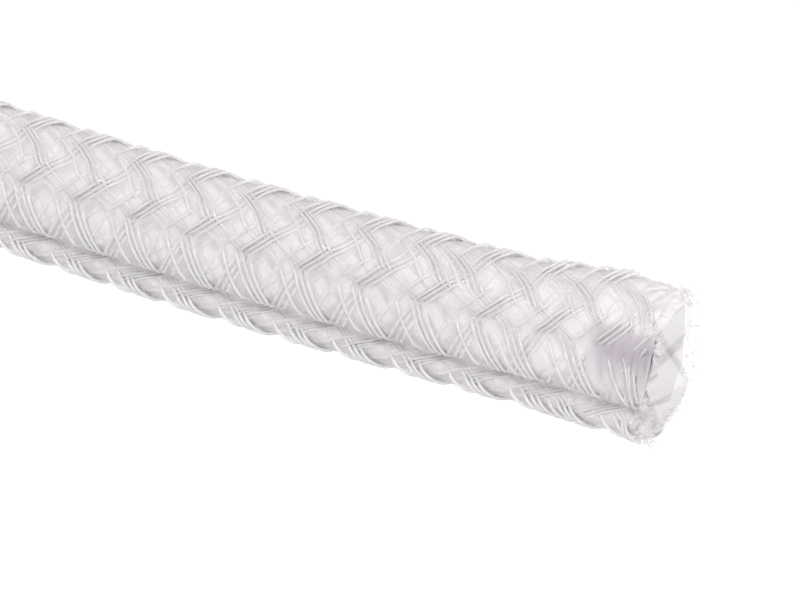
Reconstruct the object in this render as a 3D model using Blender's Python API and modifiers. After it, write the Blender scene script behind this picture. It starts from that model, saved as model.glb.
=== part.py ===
"""Braided cable sleeve, a cut piece of stock lying on a surface.

The sleeve lies along X, with +Z up. Its lowest lobes touch z = 0 and the middle
of its box stands over the origin. Its section is the soft, lobed tube that a
loosely packed braid falls into: a deep crease runs along its front side, and an
open fold runs above it. One closed wall of the braid's thickness stands for
the interlaced strands.
"""

import bmesh
import bpy
from math import atan2, cos, pi, radians, sin

MM = 0.001

# Driving sizes
SLEEVE_LENGTH = 300 * MM       # the cut length
SIZE_ACROSS = 11.1 * MM        # across the widest lobes
WALL = 0.55 * MM               # two crossing strands and the clear filaments
CREASE_DEPTH = 1.05 * MM       # the deep crease on the front side
CREASE_WIDTH = 2.3 * MM        # the crease's mouth, over its rounded shoulders
FLARE = 0.50 * MM              # how far the wall spreads at each cut end
FLARE_LENGTH = 9 * MM          # how far in from the cut the spread starts
CUT_STRAIGHT = 3 * MM          # the last stretch, straight up to the square cut

# Where the crease runs, in degrees up from the front side, and how much of its
# mouth its rounded bottom takes
CREASE_ANGLE = -25
BOTTOM_ROUND = 0.15

# The soft section without its crease, as (degrees up from the front side, reach
# from the middle as a share of half the size across)
LOBES = (
    (-115, 1.01), (-90, 0.905), (-66, 1.01), (-50, 0.99), (-37, 0.93),
    (-25, 0.83), (-12, 0.77), (4, 0.745), (20, 0.685), (36, 0.605),
    (50, 0.735), (64, 0.855), (79, 0.855), (97, 0.88), (113, 0.93),
    (130, 0.985), (155, 0.97), (180, 0.945), (210, 0.96),
)

AROUND = 96                    # corners round the section
CREASE_CORNERS = 14            # how many of them lie in the crease
FLARE_STEPS = 6                # rings in each flare
BODY_STEPS = 8                 # rings between the flares


def reach(angle):
    """The soft section's reach at an angle, by a smooth closed curve."""
    count = len(LOBES)
    turn = (angle - LOBES[0][0]) % 360 + LOBES[0][0]
    last = 0
    for index in range(count):
        if LOBES[index][0] <= turn:
            last = index

    def knot(index):
        laps, place = divmod(index, count)
        return LOBES[place][0] + 360 * laps, LOBES[place][1]

    (a0, r0), (a1, r1), (a2, r2), (a3, r3) = (knot(last + k) for k in (-1, 0, 1, 2))
    span = a2 - a1
    t = (turn - a1) / span
    slope1 = (r2 - r0) / (a2 - a0) * span
    slope2 = (r3 - r1) / (a3 - a1) * span
    return ((2 * t**3 - 3 * t**2 + 1) * r1 + (t**3 - 2 * t**2 + t) * slope1
            + (3 * t**2 - 2 * t**3) * r2 + (t**3 - t**2) * slope2)


def section():
    """The outer outline as (y, z) points, going round from the front side up."""
    half = SIZE_ACROSS / 2
    crease_half_angle = CREASE_WIDTH / 2 / (half * reach(CREASE_ANGLE))
    # The corners crowd into the crease, so that its steep sides keep their shape
    crease = radians(CREASE_ANGLE)
    angles = [crease + crease_half_angle * (k / CREASE_CORNERS * 2 - 1)
              for k in range(CREASE_CORNERS)]
    rest = AROUND - CREASE_CORNERS
    free = 2 * pi - 2 * crease_half_angle
    angles += [crease + crease_half_angle + free * k / rest for k in range(rest)]
    points = []
    for angle in angles:
        far = half * reach(angle * 180 / pi)
        off = (angle - crease + pi) % (2 * pi) - pi
        if abs(off) < crease_half_angle:
            # Round shoulders that run down to a narrow, rounded bottom
            side = (abs(off / crease_half_angle)**2 + BOTTOM_ROUND**2)**0.5
            side = (side - BOTTOM_ROUND) / ((1 + BOTTOM_ROUND**2)**0.5 - BOTTOM_ROUND)
            far -= CREASE_DEPTH * (1 - side)**2
        points.append((-far * cos(angle), far * sin(angle)))
    points = laid_down(points)
    low = min(z for y, z in points)
    middle = (min(y for y, z in points) + max(y for y, z in points)) / 2
    return [(y - middle, z - low) for y, z in points]


def laid_down(points):
    """The section turned a little, until it lies on both of its lowest lobes."""
    for turn in range(6):
        front = min((z, y) for y, z in points if y < 0)
        back = min((z, y) for y, z in points if y >= 0)
        lean = atan2(back[0] - front[0], back[1] - front[1])
        points = [(y * cos(lean) + z * sin(lean), z * cos(lean) - y * sin(lean))
                  for y, z in points]
    return points


def stations():
    """The rings along the sleeve as (x, spread of the wall there)."""
    end = SLEEVE_LENGTH / 2
    near_end = [(end, FLARE)]
    for step in range(FLARE_STEPS + 1):
        t = step / FLARE_STEPS
        near_end.append((end - CUT_STRAIGHT - FLARE_LENGTH * t,
                         FLARE * (1 - t * t * (3 - 2 * t))))
    body_end = near_end[-1][0]
    body = [(body_end * (2 * step / BODY_STEPS - 1), 0.0) for step in range(1, BODY_STEPS)]
    return [(-x, spread) for x, spread in near_end] + body + near_end[::-1]


def material(name, colour, roughness):
    made = bpy.data.materials.new(name)
    made.use_nodes = True
    shader = made.node_tree.nodes["Principled BSDF"]
    shader.inputs["Base Color"].default_value = (*colour, 1)
    shader.inputs["Roughness"].default_value = roughness
    shader.inputs["Metallic"].default_value = 0.0
    return made


def sleeve(collection):
    """The outer skin, one ring drawn out along X, thickened inwards."""
    outline = section()
    low = min(z for y, z in outline)
    high = max(z for y, z in outline)
    centre = (low + high) / 2
    half_high = (high - low) / 2
    bm = bmesh.new()
    ring = bmesh.ops.create_circle(bm, segments=AROUND, radius=SIZE_ACROSS / 2)["verts"]
    rings = stations()

    def lay(corners, x, spread):
        # The spread grows the section about the point where it meets the surface
        grow = 1 + spread / half_high
        for corner, (y, z) in zip(corners, outline):
            corner.co = (x, y * grow, low + (z - low) * grow)

    lay(ring, *rings[0])
    edges = list(bm.edges)
    for x, spread in rings[1:]:
        drawn = bmesh.ops.extrude_edge_only(bm, edges=edges)["geom"]
        corners = [item for item in drawn if isinstance(item, bmesh.types.BMVert)]
        edges = [item for item in drawn if isinstance(item, bmesh.types.BMEdge)]
        lay(corners, x, spread)
    bmesh.ops.recalc_face_normals(bm, faces=bm.faces)
    outward = sum(face.normal.y * face.calc_center_median().y
                  + face.normal.z * (face.calc_center_median().z - centre)
                  for face in bm.faces)
    if outward < 0:
        bmesh.ops.reverse_faces(bm, faces=bm.faces)
    mesh = bpy.data.meshes.new("braided_sleeve")
    bm.to_mesh(mesh)
    bm.free()
    mesh.shade_smooth()
    mesh.set_sharp_from_angle(angle=radians(50))
    mesh.materials.append(material("clear_braid", (0.70, 0.67, 0.68), 0.35))
    body = bpy.data.objects.new("braided_sleeve", mesh)
    collection.objects.link(body)
    wall = body.modifiers.new("Wall", "SOLIDIFY")
    wall.thickness = WALL
    wall.offset = -1
    wall.use_even_offset = True
    wall.use_quality_normals = True
    return body


def main():
    for old in list(bpy.data.objects):
        bpy.data.objects.remove(old, do_unlink=True)
    collection = bpy.data.collections.new("braided_cable_sleeve")
    bpy.context.scene.collection.children.link(collection)
    sleeve(collection)


main()
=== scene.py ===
"""Braided cable sleeve: the strands of the braid, one by one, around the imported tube.

The braid is laid out on the tube's outer surface by two numbers. The band count goes
round the section, through BANDS lengthwise bands in which the two sets of strands take
turns to lie on top. The place along the axis is x, also counted in bands of BAND_PITCH.
A strand runs one band round for each band along, so in these numbers it is a straight
line.
"""
import math

import bpy
import numpy as np
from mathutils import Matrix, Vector
from mathutils.bvhtree import BVHTree


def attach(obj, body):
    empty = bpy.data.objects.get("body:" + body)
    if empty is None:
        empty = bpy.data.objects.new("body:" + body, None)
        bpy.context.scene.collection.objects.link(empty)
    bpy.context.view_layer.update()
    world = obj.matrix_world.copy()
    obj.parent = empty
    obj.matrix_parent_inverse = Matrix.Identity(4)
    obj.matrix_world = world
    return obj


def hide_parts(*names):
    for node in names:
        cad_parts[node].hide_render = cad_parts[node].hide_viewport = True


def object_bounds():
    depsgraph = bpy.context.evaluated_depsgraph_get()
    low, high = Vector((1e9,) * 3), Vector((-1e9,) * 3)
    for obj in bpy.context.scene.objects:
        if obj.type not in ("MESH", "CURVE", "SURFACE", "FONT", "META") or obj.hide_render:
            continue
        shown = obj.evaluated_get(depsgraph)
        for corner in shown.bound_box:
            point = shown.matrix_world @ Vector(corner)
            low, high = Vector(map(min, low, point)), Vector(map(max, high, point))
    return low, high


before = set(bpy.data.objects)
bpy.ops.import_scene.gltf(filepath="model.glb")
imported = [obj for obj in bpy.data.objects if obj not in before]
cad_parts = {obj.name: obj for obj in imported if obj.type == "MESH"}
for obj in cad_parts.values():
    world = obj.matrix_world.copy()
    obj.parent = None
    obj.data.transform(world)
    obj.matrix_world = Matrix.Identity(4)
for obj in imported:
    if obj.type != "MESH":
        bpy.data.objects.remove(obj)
cad_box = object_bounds()

MM = 0.001
NODE = "braided_sleeve"
END = cad_box[1][0]            # the cut end that the photo shows
rng = np.random.default_rng(7)

# ---------------------------------------------------------------- the braid's sizes
# 12 carriers each way. The even ones carry a bundle of three clear filaments, and the
# odd ones a flat ribbon with one clear filament on it. Seen from the front, the strands
# of way 1 run down to the right and those of way -1 run up to the right.
WAYS = {"down": 1, "up": -1}
BANDS = 12
BAND_PITCH = 2.39 * MM         # how far along the axis a strand runs in one band
PHASE = {1: 0.57, -1: 0.19}    # shifts each way's strands along the axis, in bands

THREAD = 0.25 * MM             # round clear filament, across
THREAD_SIDES = 6
THREAD_DEPTH = (0.15 * MM, 0.30 * MM)    # its middle's depth, over and under the other set
TRIPLE_STEP = 0.22             # filament to filament in a bundle, along the axis, in bands
SINGLE_SHIFT = {1: 0.28, -1: 0.16}       # filament on a ribbon from its carrier's middle

RIBBON_WIDTH = 2.30            # flat ribbon, along the axis, in bands
RIBBON_THICK = 0.07 * MM
RIBBON_DEPTH = (0.02 * MM, 0.25 * MM)    # over and under the other set
RIBBON_CROWN = 0.24 * MM       # how far its edges dip under the filaments beside it
CROWN_POWER = 2.6              # how late towards the edge this dip sets in
RIBBON_SHIFT = -0.05           # a ribbon's middle from its carrier's middle, in bands
RIBBON_LANES = 9               # corners across each face of a ribbon
SATIN_STEP = 2.11              # from ribbon to ribbon in the noise that draws their lines

# Over and under: a band count where way 1 lies on top, and how fast the strands change
OVER_AT, OVER_SLOPE = 0.25, 0.7

# How unevenly the strands lie: their sway along the axis (in bands), their lift off the
# skin, how far past the cut they reach (less than 0 is short of it), and how far they
# stand off and slide (in bands) where they come loose
SWAY_WAVES, SWAY_RATES = 5, (0.15, 1.6)
THREAD_SWAY, THREAD_LIFT = 0.05, 0.03 * MM
THREAD_STRETCH = (-1.3 * MM, 0.1 * MM)
THREAD_FLARE, THREAD_SLIDE = 0.07 * MM, 0.12
RIBBON_SWAY = 0.03
RIBBON_STRETCH = (-0.9 * MM, 0.3 * MM)
RIBBON_RAGGED = (-0.25 * MM, 0.1 * MM)   # besides, for each lane of a ribbon
RIBBON_FLARE = 0.12 * MM

# Along two lines the ribbons sink, while the filaments of the set that lies over there
# loop out: as (way, band count, half width in bands)
LOOPS = ((1, 4.35, 0.45), (-1, -1.15, 0.5))
SLACK = 0.24 * MM              # how far the ribbons sink there
LOOP_OUT = 0.4                 # how far the filaments loop out, as a share of that

# One ribbon is squeezed and the strands past it are pushed along: from this strand
# count on, over this width, by this much, all in bands
SQUEEZE = (54.3, 1.4, -0.85)
# The side out of sight, where this push changes: its first band count and its width
HIDDEN_FROM, HIDDEN_BANDS = 4.75, 6

# ---------------------------------------------------------------- the braid's lie
# Where the bands lie: degrees up from the front side, and the band count there
EDGES = ((127, -1.25), (94.7, -0.25), (55.2, 0.75), (33, 1.75), (-22, 2.75), (-30, 3.75),
         (-56, 4.75), (-233, 10.75))
# The pull along the axis by band count, both in bands. It fades out at the cut ends.
PULL = ((-1.25, -0.5), (-0.25, 0), (0.25, 0.32), (0.75, 0.32), (1.75, 0.5), (2.75, 0.8),
        (3.75, 0.6), (5.5, 0.2), (10.75, -0.5))
PULL_FADE = 3 * MM

RAY_STEP = 0.5                 # degrees from ray to ray round the section
RAY_MIDDLE = 0.48              # height of the rays' middle, as a share of the tube's height
BAND_STEPS = 40                # samples in a band
BLEND_STEPS = 26               # samples over which bands of unlike width blend
BODY_STEP, FLARE_ZONE, FLARE_STEP = 12, 18, 1.0      # mm along the axis

# The soft sleeve's sideways sway along its length
BOW, BOW_HALF_WAVE, BOW_DECAY = 0.9 * MM, 72, 400    # the last two in mm

# Places along the axis: close together in the stretch that the photo shows
NEAR = 60 * MM
NEAR_STEPS, FAR_STEPS = 10, 5  # in a band

# ---------------------------------------------------------------- the cut ends
LOOSE_END = 4 * MM             # how far in from a cut the strands come loose
SHORT = 2.2 * MM               # how far short of the cut the far wall's filaments stop
FAR_WALL = (5.4, 10.5)         # the band counts between which they do
REACH_OUT = 0.9 * MM           # how far the ribbons at the back of the top reach past it
# That place, as a band count from each end of a turn, and its half width in bands
REACH_BANDS, REACH_WIDTH = (-0.5, 11.5), 0.8

# Behind the cut the ribbons on the middle lobe lie folded double: there they are more
# opaque, and painted shade darkens their colour
FOLD_SHADE_LENGTH, FOLD_SHADE_FADE = 6.5 * MM, 1.5 * MM
FOLD_SHADE_BANDS, FOLD_SHADE_TOP_FADE, FOLD_SHADE_BOTTOM_FADE = (0.75, 2.3), 0.2, 0.3

# Fine broken fibres stand out of the cut. They set out along the axis, stand off by
# FIBRE_OUT and FIBRE_ASIDE, and bend by FIBRE_BEND and FIBRE_CURL towards their tips.
FIBRES = 420
FIBRE_STEPS, FIBRE_SIDES = 7, 4
FIBRE_LENGTH, FIBRE_START = (0.4 * MM, 1.5 * MM), (-0.7 * MM, 0.1 * MM)
FIBRE_OUT, FIBRE_BEND = 0.45, 0.7
FIBRE_ASIDE, FIBRE_CURL = 0.6, 0.5
FIBRE_THICK, FIBRE_TAPER = (0.014 * MM, 0.030 * MM), 0.6
FIBRE_DEPTH = (0.08 * MM, 0.4 * MM)
FIBRE_LOWEST = 0.05 * MM       # how far above the floor they stay
# The first fibre is one long hair at the back of the top
HAIR = {"band": 0.2, "length": 5 * MM, "start": -0.5 * MM, "out": 0.1, "bend": -0.1,
        "thick": 0.03 * MM}
HAIR_SWAY = (0.12, -0.3)


# ---------------------------------------------------------------- the section
def cad_tree():
    """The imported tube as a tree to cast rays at."""
    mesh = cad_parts[NODE].data
    points = [v.co.copy() for v in mesh.vertices]
    return BVHTree.FromPolygons(points, [tuple(p.vertices) for p in mesh.polygons])


def bow(x):
    """The soft sleeve's slight sideways sway along its length."""
    far = (END - x) / MM
    return -BOW * np.sin(far / BOW_HALF_WAVE * math.pi) ** 2 * np.exp(-far / BOW_DECAY)


class Skin:
    """The tube's outer surface by band count and place along the axis."""

    def __init__(self):
        tree = cad_tree()
        self.high = cad_box[1][2]
        self.middle = self.high * RAY_MIDDLE
        self.first = EDGES[0][1]
        self.lay_bands(*self.outline(tree))
        self.find_normals()
        self.find_flare(tree)

    def outline(self, tree):
        """The section's outline from the top down the front, and its length so far."""
        angles = np.radians(np.arange(EDGES[0][0], EDGES[-1][0], -RAY_STEP))
        loop = []
        for a in angles:
            way = Vector((0, -math.cos(a), math.sin(a)))
            start = Vector((0, 0, self.middle)) + way * self.high * 2
            loop.append(tree.ray_cast(start, -way)[0][1:])
        loop = np.array(loop + [loop[0]])
        steps = np.linalg.norm(np.diff(loop, axis=0), axis=1)
        arc = np.concatenate([[0], np.cumsum(steps)])
        degrees = np.concatenate([np.degrees(angles), [EDGES[-1][0]]])
        return loop, arc, degrees

    def lay_bands(self, loop, arc, degrees):
        """Lays the bands out along the outline, blending their unlike widths."""
        edge_arc = np.interp([-e[0] for e in EDGES], -degrees, arc)
        edge_band = [e[1] for e in EDGES]
        self.grid = np.linspace(edge_band[0], edge_band[-1], BANDS * BAND_STEPS + 1)
        growth = np.diff(np.interp(self.grid, edge_band, edge_arc))
        kernel = np.hanning(BLEND_STEPS)
        kernel /= kernel.sum()
        wide = np.concatenate([growth[-BAND_STEPS:], growth, growth[:BAND_STEPS]])
        growth = np.convolve(wide, kernel, "same")[BAND_STEPS:-BAND_STEPS]
        where = np.concatenate([[0], np.cumsum(growth)])
        where *= arc[-1] / where[-1]
        self.band_y = np.interp(where, arc, loop[:, 0])
        self.band_z = np.interp(where, arc, loop[:, 1])

    def find_normals(self):
        """The outward normals along the bands."""
        dy = np.gradient(self.band_y)
        dz = np.gradient(self.band_z)
        dy[0] = dy[-1] = (dy[0] + dy[-1]) / 2
        dz[0] = dz[-1] = (dz[0] + dz[-1]) / 2
        size = np.hypot(dy, dz)
        self.norm_y, self.norm_z = -dz / size, dy / size
        out = self.norm_y * self.band_y + self.norm_z * (self.band_z - self.middle)
        if np.mean(out) < 0:
            self.norm_y, self.norm_z = -self.norm_y, -self.norm_z

    def find_flare(self, tree):
        """How much wider the section is along the axis, from the height of its top."""
        half = round(END / MM)
        flare = half - FLARE_ZONE
        self.xs = MM * np.concatenate([np.arange(0, flare, BODY_STEP),
                                       np.arange(flare, half, FLARE_STEP), [half - 0.1]])
        down = Vector((0, 0, -1))
        tops = [tree.ray_cast(Vector((x, 0, self.high * 2)), down)[0][2] for x in self.xs]
        self.grow = np.array(tops) / tops[0]

    def turn(self, band):
        """A strand's band count within one turn round the section."""
        return (band - self.first) % BANDS + self.first

    def at(self, band, x, depth):
        """World points and outward normals at band counts, places and depths."""
        turn = self.turn(band)
        grow = np.interp(np.abs(x), self.xs, self.grow)
        ny = np.interp(turn, self.grid, self.norm_y)
        nz = np.interp(turn, self.grid, self.norm_z)
        y = np.interp(turn, self.grid, self.band_y) * grow - ny * depth + bow(x)
        z = np.interp(turn, self.grid, self.band_z) * grow - nz * depth
        pull = np.interp(turn, [p[0] for p in PULL], [p[1] for p in PULL]) * BAND_PITCH
        pull = pull * np.clip((END - np.abs(x)) / PULL_FADE, 0, 1)
        return (np.stack([x + pull, y, z], -1),
                np.stack([np.zeros_like(ny), ny, nz], -1))


skin = Skin()


# ---------------------------------------------------------------- how strands run
def stations():
    """Places along the axis, in bands, close together near the shown end."""
    total = (END * 2) / BAND_PITCH
    near = NEAR / BAND_PITCH
    far = np.linspace(-total / 2, total / 2 - near, int((total - near) * FAR_STEPS))
    close = np.linspace(total / 2 - near, total / 2, int(near * NEAR_STEPS))
    return np.concatenate([far[:-1], close])


U = stations()
# 0 in the body, growing to 1 at both cuts
LOOSE = np.clip((np.abs(U) * BAND_PITCH - (END - LOOSE_END)) / LOOSE_END, 0, 1)


def smooth(t):
    """An even step from 0 to 1."""
    t = np.clip(t, 0, 1)
    return t * t * (3 - 2 * t)


def bell(off, width):
    return np.exp(-(off / width) ** 2)


def depth_at(band, way, depths):
    """How deep a strand lies: over in every second band, under in the others."""
    wave = np.cos(np.pi * (band - OVER_AT)) * way
    return depths[1] + (depths[0] - depths[1]) * smooth(0.5 + OVER_SLOPE * wave)


def wobble(count, size):
    """Slow random sway along a strand, one row a strand."""
    out = np.zeros((count, len(U)))
    for k in range(count):
        for wave in range(SWAY_WAVES):
            rate = rng.uniform(*SWAY_RATES)
            out[k] += rng.normal() * np.sin(U * rate + rng.uniform(0, 6.28))
    return out * size / SWAY_WAVES


def squeezed(count):
    """How far the strands past the squeezed ribbon are pushed along, by strand count."""
    start, width, push = SQUEEZE
    return push * smooth((count - start) / width)


def run(way, carrier, shift, sway, stretch):
    """A strand's band counts and x at each station."""
    x = U * BAND_PITCH + stretch * np.sign(U) * LOOSE
    along = x / BAND_PITCH - PHASE[way] - shift - sway
    if way > 0:
        # The push eases over to the next turn's on the hidden side
        turn = skin.turn(along - carrier)
        count = along - turn + shift
        ease = smooth((turn - HIDDEN_FROM) / HIDDEN_BANDS)
        along = along - squeezed(count) * (1 - ease) - squeezed(count + BANDS) * ease
    return way * (along - carrier), x


def sunk(band, way=0):
    """1 where strands sink between the looping filaments, less than 0 where these loop."""
    total = np.zeros_like(band)
    for looping, middle, width in LOOPS:
        off = (band - middle + BANDS / 2) % BANDS - BANDS / 2
        total += bell(off, width) * (-LOOP_OUT if way == looping else 1)
    return total


def fold_shade_mask(band, x):
    """1 where the ribbons lie folded double behind the cut, on the middle lobe: there they
    are more opaque and take painted shade.
    """
    turn = skin.turn(band)
    top, bottom = FOLD_SHADE_BANDS
    return (np.clip((x - END + FOLD_SHADE_LENGTH) / FOLD_SHADE_FADE, 0, 1)
            * np.clip((turn - top) / FOLD_SHADE_TOP_FADE, 0, 1)
            * np.clip((bottom - turn) / FOLD_SHADE_BOTTOM_FADE, 0, 1))


# ---------------------------------------------------------------- meshes
SHARP = math.radians(70)       # edges with a larger angle than this look sharp


def build(name, rings, material, strand=None, fold_and_shade=None):
    """One piece of closed tubes: rings is strands x stations x corners x 3."""
    rings[..., 2] = np.maximum(rings[..., 2], 0)   # nothing dips under the floor
    k, n, m = rings.shape[:3]
    index = np.arange(k * n * m).reshape(k, n, m)
    a = index[:, :-1, :]
    b = index[:, 1:, :]
    quads = np.stack([a, np.roll(a, -1, 2), np.roll(b, -1, 2), b], -1).reshape(-1, 4)
    caps = np.concatenate([index[:, 0, ::-1], index[:, -1, :]]).reshape(-1, m)
    loops = np.concatenate([quads.ravel(), caps.ravel()]).astype(np.int32)
    starts = np.concatenate([np.arange(len(quads)) * 4,
                             len(quads) * 4 + np.arange(len(caps)) * m]).astype(np.int32)
    mesh = bpy.data.meshes.new(name)
    mesh.vertices.add(k * n * m)
    mesh.vertices.foreach_set("co", rings.reshape(-1).astype(np.float32))
    mesh.loops.add(len(loops))
    mesh.loops.foreach_set("vertex_index", loops)
    mesh.polygons.add(len(starts))
    mesh.polygons.foreach_set("loop_start", starts)
    mesh.update(calc_edges=True)
    if strand is not None:
        mesh.attributes.new("strand", "FLOAT_VECTOR", "POINT").data.foreach_set(
            "vector", strand.reshape(-1).astype(np.float32))
        # the mask where the ribbons lie folded double, for their opacity and their painted
        # shade
        mesh.attributes.new("fold_and_shade", "FLOAT", "POINT").data.foreach_set(
            "value", fold_and_shade.reshape(-1).astype(np.float32))
    mesh.validate()
    mesh.shade_smooth()
    mesh.set_sharp_from_angle(angle=SHARP)
    mesh.materials.append(material)
    piece = bpy.data.objects.new(name, mesh)
    bpy.context.scene.collection.objects.link(piece)
    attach(piece, "root")
    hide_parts(NODE)


def unit(vectors):
    return vectors / np.linalg.norm(vectors, axis=-1, keepdims=True)


def round_rings(points, radius, up, side, turn):
    """Rings of corners round a line of points."""
    return points[:, None] + radius * (np.cos(turn)[None, :, None] * up[:, None]
                                       + np.sin(turn)[None, :, None] * side[:, None])


def threads(name, specs, material):
    """Round filaments: specs are (way, carrier, shift)."""
    count = len(specs)
    sway = wobble(count, THREAD_SWAY)
    lift = wobble(count, THREAD_LIFT)
    stretch = rng.uniform(*THREAD_STRETCH, count)
    flare = rng.normal(0, THREAD_FLARE, count)
    slide = rng.normal(0, THREAD_SLIDE, count)
    rings = np.zeros((count, len(U), THREAD_SIDES, 3))
    turn = np.linspace(0, 2 * np.pi, THREAD_SIDES, endpoint=False)
    for k, (way, carrier, shift) in enumerate(specs):
        # At the shown end the filaments of the far wall stop short of the cut
        last = skin.turn(run(way, carrier, shift, sway[k], stretch[k])[0][-1])
        short = SHORT * (FAR_WALL[0] < last < FAR_WALL[1]) * (U > 0)
        band, x = run(way, carrier, shift, sway[k] + slide[k] * LOOSE ** 2,
                      stretch[k] - short)
        depth = depth_at(band, way, THREAD_DEPTH) + lift[k] - flare[k] * LOOSE ** 2
        depth += sunk(band, way) * SLACK
        points, normal = skin.at(band, x, depth)
        ahead = unit(np.gradient(points, axis=-2))
        side = unit(np.cross(ahead, normal))
        up = np.cross(side, ahead)
        rings[k] = round_rings(points, THREAD / 2, up, side, turn)
    build(name, rings, material)


def ribbons(name, way, material):
    """Flat ribbons that lie on the skin and fold at the band edges."""
    carriers = range(1, BANDS, 2)
    count = len(carriers)
    sway = wobble(count, RIBBON_SWAY)
    stretch = rng.uniform(*RIBBON_STRETCH, count)
    ragged = rng.uniform(*RIBBON_RAGGED, (count, RIBBON_LANES))
    flare = rng.normal(0, RIBBON_FLARE, count)
    # The corners: over the upper face and back under the lower one, as a place from
    # -1 to 1 across the ribbon, close together at its edges
    across = np.sin(np.linspace(-1, 1, RIBBON_LANES) * math.pi / 2)
    places = np.concatenate([across, across[::-1]])
    ragged = np.concatenate([ragged, ragged[:, ::-1]], 1)
    faces = np.repeat([-0.5, 0.5], RIBBON_LANES) * RIBBON_THICK
    rings = np.zeros((count, len(U), len(places), 3))
    strand = np.zeros_like(rings)
    fold_and_shade = np.zeros(rings.shape[:3])
    for k, carrier in enumerate(carriers):
        for c, (place, face) in enumerate(zip(places, faces)):
            shift = RIBBON_SHIFT + place * RIBBON_WIDTH / 2
            band, x = run(way, carrier, shift, sway[k], stretch[k] + ragged[k, c])
            depth = (depth_at(band, way, RIBBON_DEPTH) + face
                     + RIBBON_CROWN * abs(place) ** CROWN_POWER
                     - flare[k] * LOOSE ** 2 + sunk(band) * SLACK)
            rings[k, :, c] = skin.at(band, x, depth)[0]
            # Where the ribbons lie folded double: more opacity, and painted shade on their
            # colour
            fold_and_shade[k, :, c] = fold_shade_mask(band, x)
            # The ribbons at the back of the top reach out furthest
            reach = sum(bell(skin.turn(band) - middle, REACH_WIDTH)
                        for middle in REACH_BANDS)
            rings[k, :, c, 0] += REACH_OUT * reach * LOOSE * (U > 0)
            strand[k, :, c, 0] = place
            strand[k, :, c, 1] = U
            strand[k, :, c, 2] = k * SATIN_STEP
    if way < 0:
        # The corners the other way round, so that the faces point out
        rings, strand, fold_and_shade = rings[:, :, ::-1], strand[:, :, ::-1], fold_and_shade[:, :, ::-1]
    build(name, rings, material, strand, fold_and_shade)


def fibres(name, material):
    """Fine broken fibres that stand out of the cut end, and one long one."""
    t = np.linspace(0, 1, FIBRE_STEPS)
    turn = np.linspace(0, 2 * np.pi, FIBRE_SIDES, endpoint=False)
    rings = np.zeros((FIBRES, FIBRE_STEPS, FIBRE_SIDES, 3))
    for k in range(FIBRES):
        fibre = {"band": rng.uniform(0, BANDS), "length": rng.uniform(*FIBRE_LENGTH),
                 "start": rng.uniform(*FIBRE_START), "out": rng.normal(0, FIBRE_OUT),
                 "bend": rng.normal(0, FIBRE_BEND), "thick": rng.uniform(*FIBRE_THICK)}
        depth = rng.uniform(*FIBRE_DEPTH)
        sway = rng.normal(0, FIBRE_ASIDE), rng.normal(0, FIBRE_CURL)
        if k == 0:
            fibre, sway = HAIR, HAIR_SWAY
        foot, normal = skin.at(*(np.full(1, value) for value in
                                 (fibre["band"], END + fibre["start"], depth)))
        side = np.cross([1, 0, 0], normal[0])
        outward = fibre["out"] + fibre["bend"] * t
        sideways = sway[0] + sway[1] * t
        step = unit(np.array([1.0, 0, 0]) + outward[:, None] * normal[0]
                    + sideways[:, None] * side)
        points = foot[0] + (np.cumsum(step, 0) - step[0]) * fibre["length"] / FIBRE_STEPS
        points[:, 2] = np.maximum(points[:, 2], FIBRE_LOWEST)
        b = unit(np.cross(step, normal[0]))
        n = np.cross(b, step)
        radius = fibre["thick"] * (1 - FIBRE_TAPER * t)[:, None, None]
        rings[k] = round_rings(points, radius, n, b, turn)
    build(name, rings, material)


# ---------------------------------------------------------------- materials
def principled(name, values):
    """A material whose shader has these numbers on its own sockets."""
    made = bpy.data.materials.new(name)
    made.use_nodes = True
    bsdf = made.node_tree.nodes["Principled BSDF"]
    for socket, value in values.items():
        bsdf.inputs[socket].default_value = value
    return made, bsdf


def clear_thread():
    """Clear, glossy, round monofilament."""
    return principled("clear_thread", {
        "Base Color": (0.95, 0.935, 0.95, 1), "Roughness": 0.1, "IOR": 1.5,
        "Transmission Weight": 0.55})[0]


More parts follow.
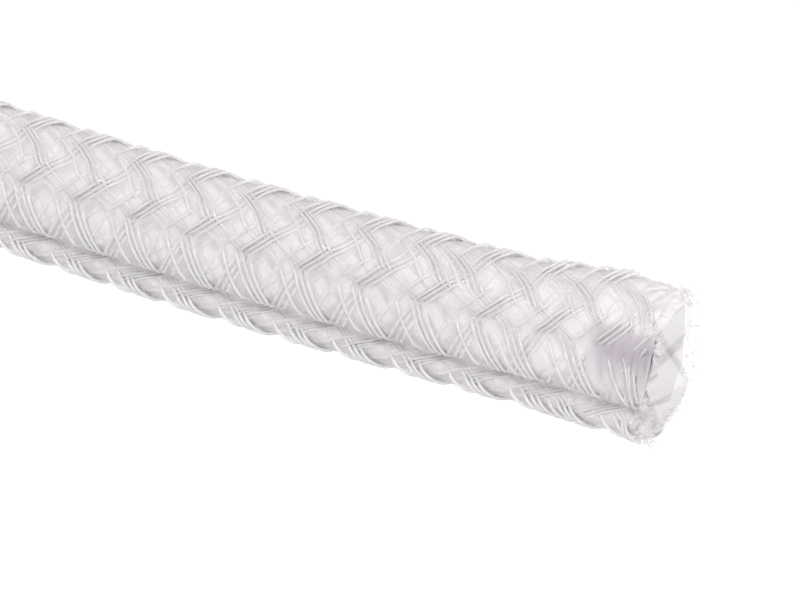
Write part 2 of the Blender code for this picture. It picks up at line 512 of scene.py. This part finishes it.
def satin_ribbon():
    """Translucent satin with fine lines along it; where it is folded double it is more
    opaque, and painted shade darkens its colour.
    """
    made, bsdf = principled("satin_ribbon", {"Roughness": 0.42})
    nodes, link = made.node_tree.nodes, made.node_tree.links.new

    def node(kind, **values):
        new = nodes.new(kind)
        for socket, value in values.items():
            new.inputs[socket.replace("_", " ")].default_value = value
        return new

    strand = node("ShaderNodeAttribute")
    strand.attribute_name = "strand"
    scale = node("ShaderNodeMapping", Scale=(3, 0.35, 1))
    lines = node("ShaderNodeTexNoise", Scale=1.0, Detail=4, Roughness=0.6)
    tint = node("ShaderNodeValToRGB")
    darker, lighter = tint.color_ramp.elements
    darker.position, darker.color = 0.3, (0.84, 0.81, 0.83, 1)
    lighter.position, lighter.color = 0.7, (0.93, 0.91, 0.93, 1)
    bump = node("ShaderNodeBump", Distance=0.00003, Strength=0.6)
    link(strand.outputs["Vector"], scale.inputs["Vector"])
    link(scale.outputs["Vector"], lines.inputs["Vector"])
    link(lines.outputs["Fac"], tint.inputs["Fac"])
    link(lines.outputs["Fac"], bump.inputs["Height"])
    link(bump.outputs["Normal"], bsdf.inputs["Normal"])

    # Where the ribbons lie folded double they are more opaque, and painted shade darkens
    # their colour
    fold_and_shade = node("ShaderNodeAttribute")
    fold_and_shade.attribute_name = "fold_and_shade"
    painted_shade = node("ShaderNodeMix")
    painted_shade.data_type = "RGBA"
    # painted shade: the dark grey that the folded double ribbons' colour is darkened
    # towards
    painted_shade.inputs["B"].default_value = (0.50, 0.46, 0.49, 1)
    cover = node("ShaderNodeMapRange", To_Min=0.26, To_Max=0.75)
    link(fold_and_shade.outputs["Fac"], painted_shade.inputs["Factor"])
    link(tint.outputs["Color"], painted_shade.inputs["A"])
    link(painted_shade.outputs["Result"], bsdf.inputs["Base Color"])
    link(fold_and_shade.outputs["Fac"], cover.inputs["Value"])
    link(cover.outputs["Result"], bsdf.inputs["Alpha"])
    return made


def braid():
    """All the strands, in the order in which they take their random numbers."""
    thread_look, ribbon_look = clear_thread(), satin_ribbon()
    singles = []
    for name, way in WAYS.items():
        threads("thread_bundles_" + name,
                [(way, carrier, place * TRIPLE_STEP)
                 for carrier in range(0, BANDS, 2) for place in (-1, 0, 1)], thread_look)
        singles += [(way, carrier, SINGLE_SHIFT[way]) for carrier in range(1, BANDS, 2)]
    threads("single_threads", singles, thread_look)
    for name, way in WAYS.items():
        ribbons("ribbons_" + name, way, ribbon_look)
    fibres("frayed_fibres", thread_look)


# ---------------------------------------------------------------- stage
FLOOR_SIZE = 6
LIGHTING = 0.83                # the even light from all round
# Lamps: name, place, target, size and watts
LAMPS = (
    ("overhead", (0.0, -0.28, 0.76), (0.1, 0, 0), (0.3, 0.3), 3.6),
    ("sweep", (0.1, 0.95, 0.45), (0.1, 0, 0), (1.3, 0.8), 1.0),
    ("front", (0.6, -0.7, 0.25), (0.1, 0, 0), (0.08, 0.08), 0.35),
    ("open_end", (0.75, -0.2, 0.35), (0.15, 0, 0), (0.4, 0.3), 1.25),
)

# The photo and its camera
PHOTO_SIZE = (800, 600)
END_PIXEL = (669.3, 364.8)     # where the middle of the shown cut end is in the photo
AZIMUTH, RISE = math.radians(25.8), math.radians(38.1)
DISTANCE = 0.45                # from the cut end
LENS, SENSOR = 275, 36         # in mm


def floor():
    """A plain white floor that is as bright as the photo's."""
    bpy.ops.mesh.primitive_plane_add(size=FLOOR_SIZE, location=(0, 0, 0))
    plane = bpy.context.object
    plane.name = "floor"
    plane.data.materials.append(principled("white_floor", {
        "Base Color": (0.1, 0.1, 0.1, 1), "Roughness": 1.0,
        "Emission Color": (1, 1, 1, 1), "Emission Strength": 1.05})[0])


def lamp(name, place, target, size, power):
    data = bpy.data.lights.new(name, "AREA")
    data.energy = power
    data.shape = "RECTANGLE"
    data.size, data.size_y = size
    new = bpy.data.objects.new(name, data)
    new.location = place
    aim = Vector(target) - Vector(place)
    new.rotation_euler = aim.to_track_quat("-Z", "Y").to_euler()
    bpy.context.scene.collection.objects.link(new)


def studio():
    """Soft, even light, with a little more from above and in front."""
    world = bpy.data.worlds.new("studio")
    bpy.context.scene.world = world
    world.use_nodes = True
    background = world.node_tree.nodes["Background"]
    background.inputs["Color"].default_value = (1, 0.98, 0.99, 1)
    background.inputs["Strength"].default_value = LIGHTING
    for values in LAMPS:
        lamp(*values)
    bpy.context.scene.view_settings.view_transform = "Standard"


def camera():
    """Solves the aim so that the shown cut end's middle falls on its photo pixel."""
    back = Vector((math.cos(RISE) * math.sin(AZIMUTH), -math.cos(RISE) * math.cos(AZIMUTH),
                   math.sin(RISE)))
    right = Vector((math.cos(AZIMUTH), math.sin(AZIMUTH), 0))
    up = back.cross(right)
    data = bpy.data.cameras.new("camera")
    data.sensor_width = SENSOR
    data.lens = LENS
    data.clip_start, data.clip_end = 0.01, 20
    pixels = LENS / SENSOR * PHOTO_SIZE[0]     # to a distance of 1
    u = (END_PIXEL[0] - PHOTO_SIZE[0] / 2) / pixels
    v = (PHOTO_SIZE[1] / 2 - END_PIXEL[1]) / pixels
    end = Vector((END, 0, skin.middle))
    seen = bpy.data.objects.new("camera", data)
    seen.location = end + (back - right * u - up * v) * DISTANCE
    seen.rotation_euler = back.to_track_quat("Z", "Y").to_euler()
    bpy.context.scene.collection.objects.link(seen)
    bpy.context.scene.camera = seen


braid()
floor()
studio()
camera()
